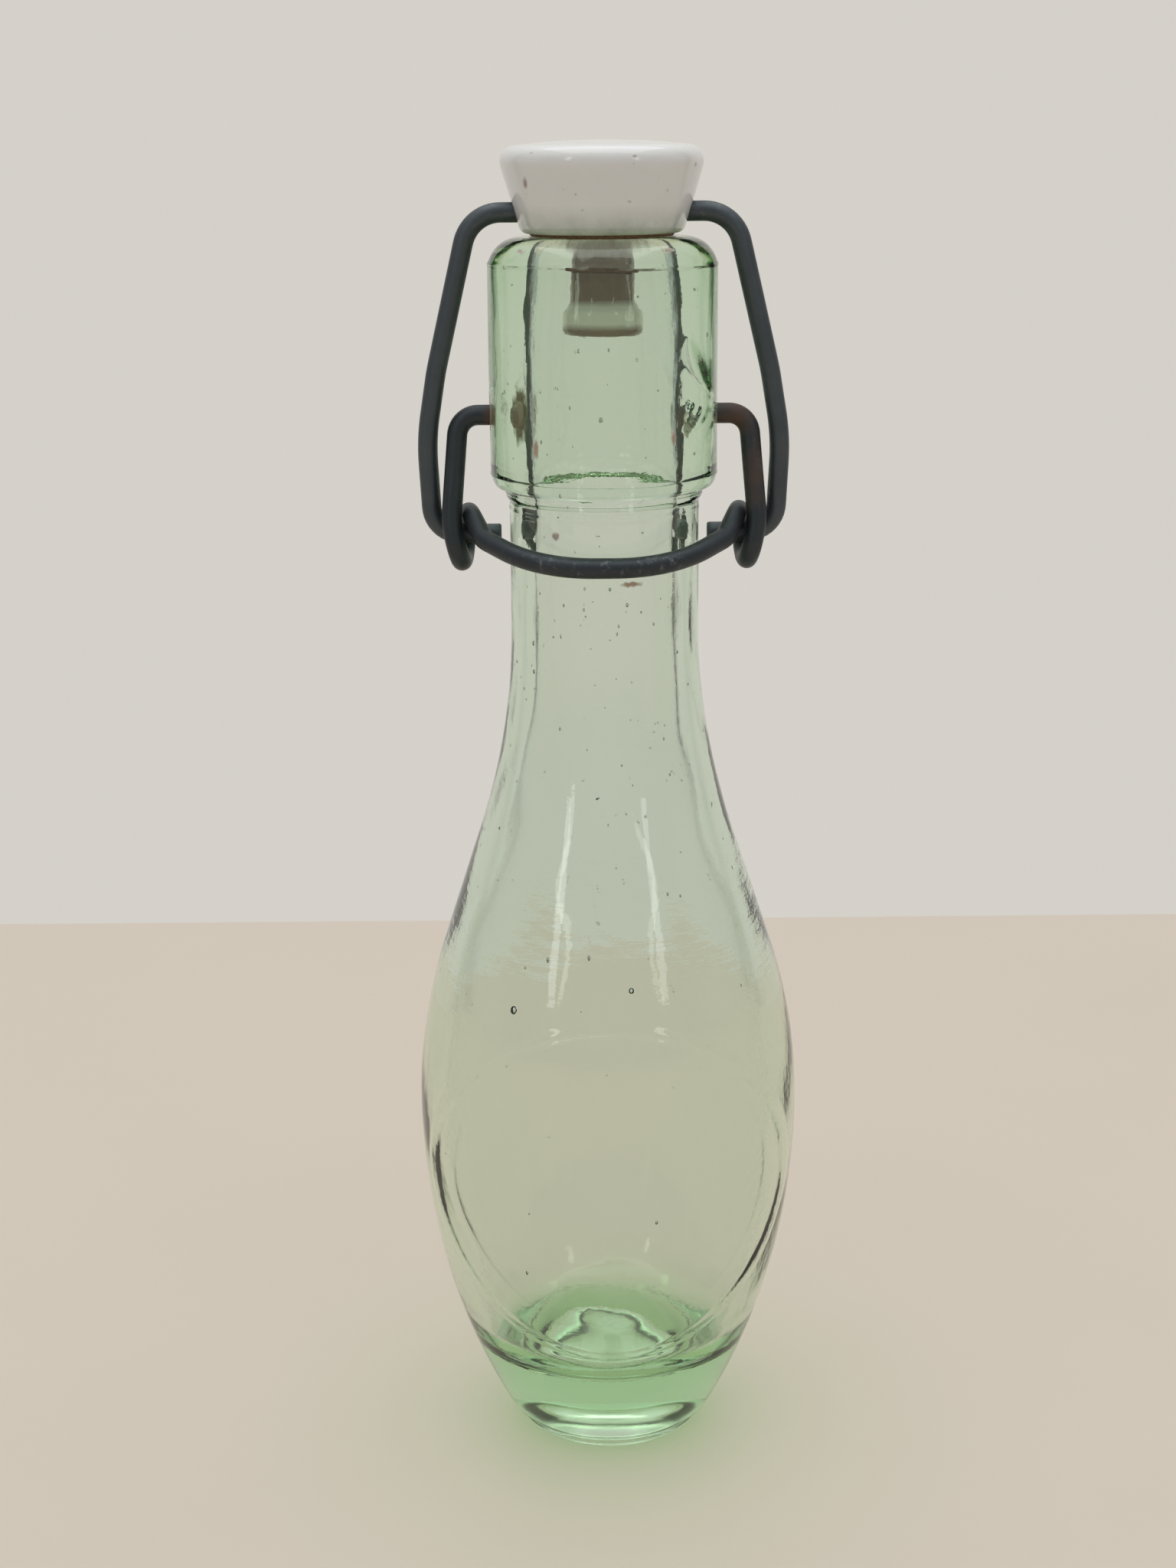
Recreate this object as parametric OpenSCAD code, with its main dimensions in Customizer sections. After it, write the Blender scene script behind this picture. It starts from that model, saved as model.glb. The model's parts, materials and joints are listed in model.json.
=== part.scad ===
// Swing top bottle: a glass bottle, and a porcelain stopper that two hinged wires pull down.
// Millimetres, +Z up. The bottle stands on z = 0 with its axis on Z, and its front faces -Y.
// The outer wire (bail) passes through the stopper, and its hooks turn in the inner wire's eyes.
// The inner wire (lever) turns in two dimples in the collar, and its front bow is the thumb lever.

/* [Bottle body] */
// Greatest diameter of the body
belly_d = 69; // [62:0.5:80]
// Height of the greatest diameter
belly_z = 64; // [56:1:72]
// Radius of the body's curve below the belly
lower_curve_r = 126; // [115:1:160]
// Radius of the body's curve above the belly
upper_curve_r = 98; // [80:1:115]
// Slope of the straight shoulder from upright, in degrees
shoulder_slope = 18.3; // [15:0.1:22]
// Radius of the hollow curve from the shoulder into the neck
neck_curve_r = 120; // [90:1:140]
// Outer diameter of the neck
neck_d = 32.8; // [30:0.2:35]
// Straight length of the neck between its hollow curve and the collar
neck_len = 21.3; // [16:0.1:30]
// Thickness of the glass in the body and the neck
wall = 4.5; // [3:0.1:5]

/* [Bottle base] */
// Height of the foot ring
foot_h = 3; // [2:0.1:5]
// How far the foot ring is set in from the body above it
foot_inset = 1.3; // [0.5:0.1:2]
// Width of the rounded ring that the bottle stands on
foot_rim_w = 4.6; // [3.5:0.1:6]
// Height of the hollow under the base
kick_h = 9.5; // [6:0.5:11]
// Height at which the inside wall starts to turn into the floor
floor_turn_z = 21.5; // [20:0.5:25]
// Radius of the turn between the inside wall and the floor
floor_round_r = 6; // [4:0.5:8]
// Rise of the inside floor from the groove at its edge to the push-up's top
floor_rise = 4.4; // [1:0.2:6]
// Radius of the flat top of the push-up
push_up_r = 6; // [3:0.5:8]

/* [Front ring] */
// Diameter of the plain raised ring on the front of the body
ring_d = 63; // [40:0.5:64]
// Width of the raised ring's line
ring_w = 1.3; // [0.8:0.1:3]
// Height of the ring's middle
ring_z = 57; // [50:0.5:64]
// How far the ring stands out of the glass
ring_up = 0.5; // [0.3:0.1:1]

/* [Collar and mouth] */
// Outer diameter of the collar
collar_d = 39.1; // [37.6:0.1:40]
// Height of the collar from its lower edge to the lip
collar_h = 44.1; // [42:0.1:60]
// Radius of the rounded shoulder at the top of the collar
lip_round_r = 5.6; // [4:0.1:6]
// Radius of the lip's inner edge
mouth_round_r = 0.8; // [0.5:0.1:1.2]
// Diameter of the mouth
mouth_d = 21.6; // [20:0.2:22]
// Greatest diameter of the bore inside the collar
bore_d = 24.4; // [22.4:0.2:25]
// Depth below the lip at which the bore reaches that diameter
bore_drop = 20; // [14:0.5:26]
// Depth of the dimples that hold the lever's ends
dimple_depth = 5; // [3:0.1:5.6]
// Clearance round the lever's ends in the dimples
dimple_gap = 0.25; // [0.15:0.05:0.5]
// Drop from the lip to the middle of the dimples
pivot_drop = 29.8; // [26:0.2:34]

/* [Stopper] */
// Diameter of the stopper's head at its widest, near the top
head_d = 34.3; // [31:0.1:36]
// Diameter of the head's lower edge
head_base_d = 28.2; // [26.6:0.1:29]
// Height of the head
head_h = 15.2; // [13:0.2:20]
// Radius of the head's upper rim
head_rim_r = 2.6; // [1:0.1:3]
// Height of the bar hole above the head's lower edge
bar_up = 3.5; // [3.3:0.1:5]
// Clearance round the bail's bar in the stopper
bar_gap = 0.25; // [0.1:0.05:0.4]
// Diameter of the stem in the bore
stem_d = 11; // [10.2:0.1:12]
// Length of the stem below the lip
stem_len = 16; // [13:0.1:16.4]
// Diameter of the flange at the stem's end
flange_d = 13.4; // [12.2:0.1:14]
// Height of the flange
flange_h = 4.9; // [2:0.1:6]

/* [Seal] */
// Outer diameter of the rubber seal
seal_d = 24.6; // [24:0.1:25.2]
// Thickness of the seal between the stopper and the lip
seal_t = 1.5; // [1.2:0.1:1.7]
// How far the seal stands proud of the stopper's lower edge
seal_proud = 0.45; // [0.3:0.05:0.8]
// Outer diameter of the seal's sleeve in the mouth
sleeve_d = 12.4; // [11.6:0.1:13.2]
// Length of the sleeve below the seal's face
sleeve_len = 5.5; // [3:0.1:7]
// Wall of the sleeve
sleeve_wall = 1.3; // [1:0.1:1.8]
// Play left between the seal and the lip, so that the stopper can start to turn
seal_play = 0.05; // [0.03:0.01:0.1]

/* [Bail] */
// Diameter of the bail's wire
bail_wire_d = 3.4; // [3:0.1:3.8]
// Half the width of the bail's shoulders, where the bar and the arms would meet at a corner
shoulder_x = 22.3; // [21.8:0.1:23.2]
// Half the width of the bail at the bend half way down its arms
bail_mid_x = 28.6; // [28:0.1:29.2]
// Drop from the bar to the bend half way down its arms
bail_mid_drop = 26.5; // [22:0.5:28]
// Half the width of the bail at its widest
bail_x = 30.5; // [30:0.1:32]
// Drop from the bar to the bail's widest place
bail_wide_drop = 38; // [36:0.5:40]
// Half the width of the bail at its hooks
hook_x = 29.7; // [29.4:0.1:30.2]
// Distance from the axis to the hook's cut end
hook_end_x = 17.9; // [17.4:0.1:19]
// Radius of the bends at the bail's shoulders
shoulder_bend_r = 6.5; // [4:0.1:7]
// Radius of the slow bends along the bail's arms
bail_arm_bend_r = 40; // [20:1:50]
// Radius of the bends at the bail's hooks
hook_bend_r = 4.8; // [3:0.1:5.2]

/* [Lever] */
// Diameter of the lever's wire
lever_wire_d = 3.5; // [3:0.1:3.8]
// Distance between the lever's ends and its eyes: the throw of the toggle
crank_len = 20.6; // [18:0.1:21]
// How far the eyes lie behind the lever's ends when the bottle is shut
over_centre = 0.7; // [0.3:0.1:1]
// Half the width of the lever at the top of its arms
arm_top_x = 24.9; // [24:0.1:25.5]
// Half the width of the lever at its widest, just above its eyes
arm_wide_x = 26.4; // [26:0.1:26.6]
// Half the width of the lever where each arm turns under the bail's hook
arm_low_x = 24.9; // [24.4:0.1:25.4]
// Radius of the lever's eyes, at the middle of the wire
eye_r = 4.1; // [3.9:0.1:4.3]
// Clearance between the bail's hook and the top of the eye
eye_gap = 0.15; // [0.1:0.05:0.4]
// How far inside each arm the end of its eye lies, between the middles of the wire
eye_step = 3.4; // [3.3:0.1:4]
// How far each arm passes in front of the round of its eye
arm_front = 0.8; // [0.6:0.1:1.2]
// Radius of the bend at the top of each arm
arm_bend_r = 3.6; // [3:0.1:4]
// Radius of the slow bend above each eye
arm_wide_bend_r = 14; // [10:0.5:16]
// Clearance between the front bow and the neck
bow_gap = 0.35; // [0.2:0.05:1]
// Drop from the eyes to the middle of the front bow
bow_drop = 3; // [2.5:0.1:5]
// Radius of the front bow, at the middle of the wire
bow_r = 20; // [18:0.5:22]
// Half the width of the lever where each eye's wire turns into the bow
bow_side_x = 20.6; // [20.2:0.1:21.4]
// How far in front of the pivots each eye's wire turns into the bow
bow_side_y = 7.4; // [7:0.1:8.5]
// Rise of that place above the front of the bow
bow_side_up = 3.2; // [2:0.1:4]
// Radius of the bend there
bow_side_bend_r = 4; // [2:0.1:5]

/* [Hidden] */
$fn = 96;

glass_colour = [0.66, 0.80, 0.70, 0.45];
porcelain_colour = [0.93, 0.92, 0.88];
rubber_colour = [0.36, 0.24, 0.16];
bail_colour = [0.16, 0.18, 0.23];
lever_colour = [0.20, 0.22, 0.27];

// Steps in each curved stretch of a turned outline
curve_steps = 14;
bend_steps = 8;
edge_steps = 4;
// How far the ball in each joint of a wire stands out of it
ball_proud = 0.02;
// Play where one piece seats in another without turning
seat_play = 0.05;

// Heights and radii along the bottle, from the foot to the lip
belly_r = belly_d / 2;
neck_r = neck_d / 2;
collar_r = collar_d / 2;
neck_curve_z = belly_z + upper_curve_r * sin(shoulder_slope) + neck_curve_r * sin(shoulder_slope)
    + (belly_r - neck_r - (upper_curve_r + neck_curve_r) * (1 - cos(shoulder_slope))) / tan(shoulder_slope);
collar_z = neck_curve_z + neck_len;
lip_z = collar_z + collar_h;
pivot_z = lip_z - pivot_drop;

// Straight stretch of the neck next to each of its ends, inside and outside
neck_rim = 1;
// Height above the collar's lower edge at which the bore starts to widen into the neck
bore_end_up = 2;

// The foot, set in from the body just above it; foot_round is its rounded edge's share of its width
foot_round = 0.55;
foot_r = body_r(foot_h, 0) - foot_inset;
foot_round_r = foot_rim_w * foot_round;
kick_r = foot_r - foot_rim_w;
// How flat the hollow's top is: its height falls off with this power of the radius
kick_power = 6;

// The stopper's and the wires' places
head_z = lip_z + seal_play + seal_proud;
bar_z = head_z + bar_up;
eye_z = pivot_z - sqrt(crank_len * crank_len - over_centre * over_centre);
groove_r = sleeve_d / 2 - sleeve_wall;
dimple_r = lever_wire_d / 2 + dimple_gap;
// Clearance between each of the lever's ends and the bottom of its dimple
pin_play = 0.5;
// How far a cut runs past the surface that it starts from
cut_over = 1;
pin_end_x = collar_r - dimple_depth + pin_play;
bow_y = -(neck_r + bow_gap + lever_wire_d / 2);
bow_z = eye_z - bow_drop;
// Turn of each end of the bow towards its eye, and the short straight left at the bow's middle
bow_turn = 55;
bow_flat = 0.6;
// Height of the lever's widest place above the hooks
arm_wide_up = 2.4;
// Half of the short straight between two bends of an eye
eye_flat = 0.55;
// How far in front of the hook the end of the eye turns down towards the bow
eye_end = 2.2;
// Sideways run of the eye as its wire rises behind the hook, to each side of its middle
eye_twist = 0.3;

// Radius of the body below the belly at height z, for the skin that lies depth inside the glass
function body_r(z, depth) =
    belly_r - lower_curve_r + sqrt(pow(lower_curve_r - depth, 2) - pow(belly_z - z, 2));

// Points on an arc round a centre, from one angle to another
function arc(centre, r, from, to, steps = bend_steps) =
    [for (i = [0 : steps]) let (a = from + (to - from) * i / steps) centre + r * [cos(a), sin(a)]];

// The body's outline from the start of the lower curve to the neck, depth inside the glass
function body_side(depth, z_from) = concat(
    [for (i = [0 : curve_steps])
        let (z = z_from + (belly_z - z_from) * i / curve_steps) [body_r(z, depth), z]],
    [for (i = [1 : curve_steps])
        let (a = shoulder_slope * i / curve_steps, r = upper_curve_r - depth)
        [belly_r - upper_curve_r + r * cos(a), belly_z + r * sin(a)]],
    [for (i = [curve_steps : -1 : 0])
        let (a = shoulder_slope * i / curve_steps, r = neck_curve_r + depth)
        [neck_r + neck_curve_r - r * cos(a), neck_curve_z - r * sin(a)]]
);

// A smooth change from one radius to another between two heights
function ease(r0, z0, r1, z1) = [for (i = [0 : curve_steps])
    let (t = i / curve_steps) [r0 + (r1 - r0) * (1 - cos(180 * t)) / 2, z0 + (z1 - z0) * t]];

// A change of radius between two heights that starts at a slope and ends upright
function swell(r0, z0, r1, z1) = [for (i = [0 : bend_steps])
    let (t = i / bend_steps) [r0 + (r1 - r0) * sin(90 * t), z0 + (z1 - z0) * t]];

// Everything outside the glass, from the middle of the base up to the lip
function outer_outline() = concat(
    [for (i = [0 : bend_steps - 1])
        let (t = i / bend_steps) [kick_r * pow(t, 2 / kick_power), kick_h * (1 - t * t)]],
    [[kick_r, 0]],
    arc([foot_r - foot_round_r, foot_round_r], foot_round_r, -90, 0),
    body_side(0, foot_h + foot_inset / 2),
    collar_foot(),
    arc([collar_r - lip_round_r, lip_z - lip_round_r], lip_round_r, 0, 90)
);

// The collar swells out of the neck over a low ledge and a tall step
ledge_out = 0.55;
ledge_rise = 0.7;
ledge_h = 1.9;
step_rise = 3.5;
step_angle = 15;
ledge_r = neck_r + ledge_out;

function soft_step(r0, r1, z, rise, from) = [for (a = [from : step_angle : 90])
    [r0 + (r1 - r0) * sin(a), z + rise * (1 - cos(a))]];

function collar_foot() = concat(
    [[neck_r, collar_z - neck_rim]],
    soft_step(neck_r, ledge_r, collar_z, ledge_rise, step_angle),
    soft_step(ledge_r, collar_r, collar_z + ledge_h, step_rise, 0)
);

// The inside of the glass, from the lip down to the middle of the floor
inner_neck_r = neck_r - wall;
bore_end_z = collar_z + bore_end_up;
floor_tilt = asin((belly_z - floor_turn_z) / (lower_curve_r - wall));
floor_arc_centre = [body_r(floor_turn_z, wall) - floor_round_r * cos(floor_tilt),
                    floor_turn_z + floor_round_r * sin(floor_tilt)];
floor_z = floor_arc_centre[1] - floor_round_r;
inner_side = body_side(wall, floor_turn_z);

function inner_outline() = concat(
    arc([mouth_d / 2 + mouth_round_r, lip_z - mouth_round_r], mouth_round_r, 90, 180),
    swell(mouth_d / 2, lip_z - mouth_round_r - neck_rim, bore_d / 2, lip_z - bore_drop),
    ease(bore_d / 2, bore_end_z, inner_neck_r, neck_curve_z + neck_rim),
    [for (i = [len(inner_side) - 1 : -1 : 0]) inner_side[i]],
    arc(floor_arc_centre, floor_round_r, -floor_tilt, -90),
    [for (i = [1 : bend_steps])
        let (t = i / bend_steps)
        [floor_arc_centre[0] * (1 - t) + push_up_r * t, floor_z + floor_rise * (1 - cos(180 * t)) / 2]],
    [[0, floor_z + floor_rise]]
);

module bottle() {
    color(glass_colour) {
        difference() {
            rotate_extrude() polygon(concat(outer_outline(), inner_outline()));
            for (side = [-1, 1])
                translate([side * (collar_r - dimple_depth), 0, pivot_z])
                    rotate([0, side * 90, 0])
                        cylinder(r = dimple_r, h = dimple_depth + cut_over);
        }
        front_ring();
    }
}

// A plain round moulding on the front, seen as a circle from -Y
module front_ring() {
    ring_depth = 1;
    intersection() {
        rotate_extrude() polygon(concat(
            [for (p = body_side(0, foot_h + foot_inset / 2)) p + [ring_up, 0]],
            [for (i = [len(inner_side) - 1 : -1 : 0]) body_side(ring_depth, foot_h + foot_inset / 2)[i]]
        ));
        translate([0, 0, ring_z])
            rotate([90, 0, 0])
                linear_extrude(belly_d)
                    difference() {
                        circle(d = ring_d + ring_w);
                        circle(d = ring_d - ring_w);
                    }
    }
}

module stopper() {
    head_r = head_d / 2;
    base_r = head_base_d / 2;
    top_z = head_z + head_h;
    dome = 0.8;
    edge_r = 1.5;
    rim_tilt = 16;
    // Share of the head's radius at which its domed top meets the rim's slope
    crown = 0.45;
    rim_z = top_z - dome - head_rim_r;
    recess_z = head_z + seal_t - seal_proud;
    recess_r = seal_d / 2 + seat_play;
    stem_z = lip_z - stem_len;
    groove_end_z = lip_z + seal_play - sleeve_len - seat_play;
    flange_edge = 0.8;
    flange_slope = 1.2;
    color(porcelain_colour)
        difference() {
            rotate_extrude() polygon(concat(
                [[0, stem_z], [flange_d / 2 - flange_edge, stem_z], [flange_d / 2, stem_z + flange_edge],
                 [flange_d / 2, stem_z + flange_h], [stem_d / 2, stem_z + flange_h + flange_slope],
                 [stem_d / 2, groove_end_z], [groove_r - seat_play, groove_end_z],
                 [groove_r - seat_play, recess_z], [recess_r, recess_z], [recess_r, head_z]],
                arc([base_r - edge_r, head_z + edge_r], edge_r, -90, -rim_tilt, edge_steps),
                arc([head_r - head_rim_r, rim_z], head_rim_r, -rim_tilt, 90 - rim_tilt),
                [for (t = [crown, 0]) [head_r * t, top_z - dome * t * t]]
            ));
            translate([0, 0, bar_z])
                rotate([0, 90, 0])
                    cylinder(d = bail_wire_d + 2 * bar_gap, h = head_d + 2 * cut_over, center = true);
        }
}

module seal() {
    face_z = lip_z + seal_play;
    sleeve_edge = 0.3;
    face_edge = 0.2;
    color(rubber_colour)
        rotate_extrude() polygon([
            [groove_r, face_z - sleeve_len], [sleeve_d / 2 - sleeve_edge, face_z - sleeve_len],
            [sleeve_d / 2, face_z - sleeve_len + sleeve_edge], [sleeve_d / 2, face_z],
            [seal_d / 2 - face_edge, face_z], [seal_d / 2, face_z + face_edge],
            [seal_d / 2, face_z + seal_t], [groove_r, face_z + seal_t]
        ]);
}

function unit(v) = v / norm(v);

// A frame with its axes along x and z, placed at a point
function frame(x, z, at) = let (y = cross(z, x)) [
    [x[0], y[0], z[0], at[0]], [x[1], y[1], z[1], at[1]], [x[2], y[2], z[2], at[2]], [0, 0, 0, 1]];

// How far a bend of radius r reaches along the legs of the corner a-b-c
function reach(a, b, c, r) =
    let (corner = acos(unit(a - b) * unit(c - b))) r / tan(corner / 2);

// A round rod from one point to another, with a ball at each end that closes the joint with a bend
module rod(d, a, b, ball_a, ball_b) {
    along = unit(b - a);
    side = unit(cross(along, abs(along[2]) < 0.9 ? [0, 0, 1] : [1, 0, 0]));
    multmatrix(frame(side, along, a)) {
        cylinder(d = d, h = norm(b - a));
        if (ball_a) sphere(d = d + 2 * ball_proud);
        if (ball_b) translate([0, 0, norm(b - a)]) sphere(d = d + 2 * ball_proud);
    }
}

// A round wire along the points, bent at each inner one to that one's radius
module bent_wire(d, points, bends) {
    last = len(points) - 1;
    reaches = [for (i = [0 : last])
        i == 0 || i == last ? 0 : reach(points[i - 1], points[i], points[i + 1], bends[i - 1])];
    for (i = [0 : last - 1]) {
        along = unit(points[i + 1] - points[i]);
        rod(d, points[i] + along * reaches[i], points[i + 1] - along * reaches[i + 1],
            i > 0, i < last - 1);
    }
    for (i = [1 : last - 1]) {
        r = bends[i - 1];
        in = unit(points[i] - points[i - 1]);
        out = unit(points[i + 1] - points[i]);
        turn = acos(in * out);
        middle = points[i] + unit(out - in) * r / cos(turn / 2);
        start = points[i] - in * reaches[i];
        multmatrix(frame(unit(start - middle), unit(cross(in, out)), middle))
            rotate_extrude(angle = turn)
                translate([r, 0])
                    circle(d = d);
    }
}

function backward(list) = [for (i = [len(list) - 1 : -1 : 0]) list[i]];

// The right half's points from its end in, then the left half's from the middle out
function mirrored(half) = concat(half, [for (p = backward(half)) [-p[0], p[1], p[2]]]);

module bail() {
    // The bail leans from the eyes, just behind the pivots, to the bar on the bottle's axis
    lean = over_centre / (bar_z - eye_z);
    half = [
        [hook_end_x, over_centre, eye_z],
        [hook_x, over_centre, eye_z],
        [bail_x, lean * bail_wide_drop, bar_z - bail_wide_drop],
        [bail_mid_x, lean * bail_mid_drop, bar_z - bail_mid_drop],
        [shoulder_x, 0, bar_z]
    ];
    half_bends = [hook_bend_r, bail_arm_bend_r, bail_arm_bend_r, shoulder_bend_r];
    color(bail_colour)
        bent_wire(bail_wire_d, mirrored(half), concat(half_bends, backward(half_bends)));
}

module lever() {
    // The hook bears on the top of the eye, so the eye's middle lies below the hook
    eye_mid_z = eye_z + bail_wire_d / 2 + eye_gap + lever_wire_d / 2 - eye_r;
    eye_top_z = eye_mid_z + eye_r;
    eye_low_z = eye_mid_z - eye_r;
    eye_front_y = over_centre - eye_r;
    eye_back_y = over_centre + eye_r;
    inner_x = arm_wide_x - eye_step;
    end_y = over_centre - eye_end;
    back_x = (arm_low_x + inner_x) / 2 + eye_twist;
    // The arm comes forward as it falls from the pivot to the front of the eye
    arm_y = eye_front_y - arm_front;
    arm_wide_z = eye_z + arm_wide_up;
    arm_wide_y = arm_y * (pivot_z - arm_wide_z) / (pivot_z - eye_low_z);
    eye_bend_r = eye_r - eye_flat;
    half = [
        [pin_end_x, 0, pivot_z],
        [arm_top_x, 0, pivot_z],
        [arm_wide_x, arm_wide_y, arm_wide_z],
        [arm_low_x, arm_y, eye_low_z],
        [back_x + eye_twist, eye_back_y, eye_low_z],
        [back_x - eye_twist, eye_back_y, eye_top_z],
        [inner_x, end_y, eye_top_z],
        [bow_side_x, -bow_side_y, bow_z + bow_side_up],
        [bow_r * tan(bow_turn / 2) + bow_flat, bow_y, bow_z]
    ];
    half_bends = [arm_bend_r, arm_wide_bend_r, eye_bend_r, eye_bend_r, eye_bend_r,
                  eye_bend_r, bow_side_bend_r, bow_r];
    color(lever_colour)
        bent_wire(lever_wire_d, mirrored(half), concat(half_bends, backward(half_bends)));
}

bottle();
stopper();
seal();
bail();
lever();
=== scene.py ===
import json
import math

import bmesh
import bpy
import numpy as np
from mathutils import Matrix, Vector


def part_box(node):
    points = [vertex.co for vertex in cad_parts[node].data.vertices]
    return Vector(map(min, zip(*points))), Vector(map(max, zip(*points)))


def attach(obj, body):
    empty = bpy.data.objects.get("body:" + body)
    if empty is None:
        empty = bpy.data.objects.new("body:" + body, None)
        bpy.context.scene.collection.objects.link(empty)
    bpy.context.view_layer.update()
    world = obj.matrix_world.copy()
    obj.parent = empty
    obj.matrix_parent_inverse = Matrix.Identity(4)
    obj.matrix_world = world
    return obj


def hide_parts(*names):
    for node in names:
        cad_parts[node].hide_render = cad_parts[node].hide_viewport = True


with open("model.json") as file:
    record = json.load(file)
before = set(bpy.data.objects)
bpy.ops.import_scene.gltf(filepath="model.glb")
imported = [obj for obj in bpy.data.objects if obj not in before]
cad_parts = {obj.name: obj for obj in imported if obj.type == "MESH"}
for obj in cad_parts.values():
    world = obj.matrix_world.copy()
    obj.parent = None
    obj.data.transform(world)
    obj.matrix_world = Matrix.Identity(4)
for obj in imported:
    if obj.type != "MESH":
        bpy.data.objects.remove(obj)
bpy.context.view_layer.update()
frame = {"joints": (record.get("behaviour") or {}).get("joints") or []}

# ---------------------------------------------------------------- sizes, in millimetres
joint = {j["name"]: np.array(j["pos_m"], float) * 1000 for j in frame["joints"]}
pivot_z = joint["lever_hinge"][2]
over_centre, eye_z = joint["bail_hinge"][1:]
bar_z = joint["stopper_hinge"][2]


def node_box(name):
    low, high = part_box(name)
    return np.array(low) * 1000, np.array(high) * 1000


belly_r, _, lip_z = node_box("bottle")[1]
stem_z = node_box("stopper")[0][2]
head_r, _, top_z = node_box("stopper")[1]
seal_low, seal_high = node_box("seal")

belly_z, lower_curve_r, upper_curve_r = 64, 126, 98
shoulder_slope, neck_curve_r = math.radians(18.3), 120
neck_r, neck_len, wall = 16.4, 21.3, 4.5
foot_h, foot_inset, foot_rim_w, kick_h, kick_power = 3, 1.3, 4.6, 9.5, 6
ledge_out, ledge_rise, step_up, step_rise, step_fullness = 0.55, 0.7, 1.9, 3.5, 0.62
collar_r, lip_round_r, mouth_round_r = 19.55, 5.6, 0.8
mouth_r, bore_r, bore_drop = 10.8, 12.2, 20
dimple_depth, dimple_r, pin_play = 5, 2.0, 0.5
sleeve_r, sleeve_len, seal_proud, seat_play = 6.2, 5.5, 0.45, 0.05
ring_r, ring_z, ring_w, ring_up = 31.5, 57, 1.3, 0.18
bail_wire_d, lever_wire_d = 3.4, 3.5
# The floor inside as (radius, height), from the axis out to where it turns up into the wall
floor_points = [(0, 22), (6, 21.9), (9, 21.2), (14, 18.3), (17, 17.6), (20.5, 19.2)]
floor_turn_z, floor_turn_rise = 23, 3

run = upper_curve_r + neck_curve_r
neck_curve_z = (belly_z + run * math.sin(shoulder_slope)
                + (belly_r - neck_r - run * (1 - math.cos(shoulder_slope)))
                / math.tan(shoulder_slope))
collar_z = neck_curve_z + neck_len


# ---------------------------------------------------------------- outlines as (radius, height)
def body_r(z, depth):
    return (belly_r - lower_curve_r
            + np.sqrt((lower_curve_r - depth) ** 2 - (belly_z - z) ** 2))


def body_side(depth, z_from):
    z = np.linspace(z_from, belly_z, 160)
    low = np.stack([body_r(z, depth), z], 1)
    a = np.linspace(0, shoulder_slope, 120)[1:]
    r = upper_curve_r - depth
    belly = np.stack([belly_r - upper_curve_r + r * np.cos(a), belly_z + r * np.sin(a)], 1)
    a = a[::-1]
    r = neck_curve_r + depth
    shoulder = np.stack([neck_r + neck_curve_r - r * np.cos(a), neck_curve_z - r * np.sin(a)], 1)
    return np.concatenate([low, belly, shoulder, [[neck_r - depth, neck_curve_z]]])


def arc(centre, r, start, end, n=40):
    a = np.radians(np.linspace(start, end, n))
    return np.stack([centre[0] + r * np.cos(a), centre[1] + r * np.sin(a)], 1)


def soft_step(r0, r1, z, rise, fullness=1.0):
    a = np.linspace(0, math.pi / 2, 60)
    return np.stack([r0 + (r1 - r0) * np.sin(a) ** fullness, z + rise * (1 - np.cos(a))], 1)


foot_r = body_r(foot_h, 0) - foot_inset
kick_r = foot_r - foot_rim_w


def outer_outline():
    round_r = foot_rim_w * 0.55
    t = np.linspace(0, 1, 40)
    ledge_r = neck_r + ledge_out
    return np.concatenate([
        np.stack([kick_r * t, kick_h * (1 - t ** kick_power)], 1),
        arc((foot_r - round_r, round_r), round_r, -90, 0),
        body_side(0, foot_h + foot_inset / 2),
        [[neck_r, collar_z - 1]],
        soft_step(neck_r, ledge_r, collar_z, ledge_rise),
        soft_step(ledge_r, collar_r, collar_z + step_up, step_rise, step_fullness),
        arc((collar_r - lip_round_r, lip_z - lip_round_r), lip_round_r, 0, 90),
    ])


def inner_outline():
    t = np.linspace(0, 1, 60)
    side = body_side(wall, floor_turn_z)[::-1]
    turn_end_z = floor_turn_z + floor_turn_rise
    knots = np.array(floor_points + [(body_r(floor_turn_z, wall), floor_turn_z),
                                     (body_r(turn_end_z, wall), turn_end_z)], float)
    return np.concatenate([
        arc((mouth_r + mouth_round_r, lip_z - mouth_round_r), mouth_round_r, 90, 180),
        np.stack([mouth_r + (bore_r - mouth_r) * np.sin(t * math.pi / 2),
                  lip_z - mouth_round_r - 1 - (bore_drop - mouth_round_r - 1) * t], 1),
        np.stack([bore_r + (neck_r - wall - bore_r) * (1 - np.cos(math.pi * t)) / 2,
                  collar_z + 2 + (neck_curve_z + 1 - collar_z - 2) * t], 1),
        side[side[:, 1] > turn_end_z],
        smooth_curve(knots)[::-1],
    ])


def smooth_curve(knots, n=40):
    """A curve through the knots, level at the first one."""
    p = np.concatenate([[knots[1] * [-1, 1]], knots, [2 * knots[-1] - knots[-2]]])
    out = []
    for i in range(1, len(p) - 2):
        for t in np.linspace(0, 1, n, endpoint=False):
            out.append(0.5 * (2 * p[i] + (p[i + 1] - p[i - 1]) * t
                              + (2 * p[i - 1] - 5 * p[i] + 4 * p[i + 1] - p[i + 2]) * t ** 2
                              + (3 * p[i] - p[i - 1] - 3 * p[i + 1] + p[i + 2]) * t ** 3))
    return np.array(out + [knots[-1]])


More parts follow.
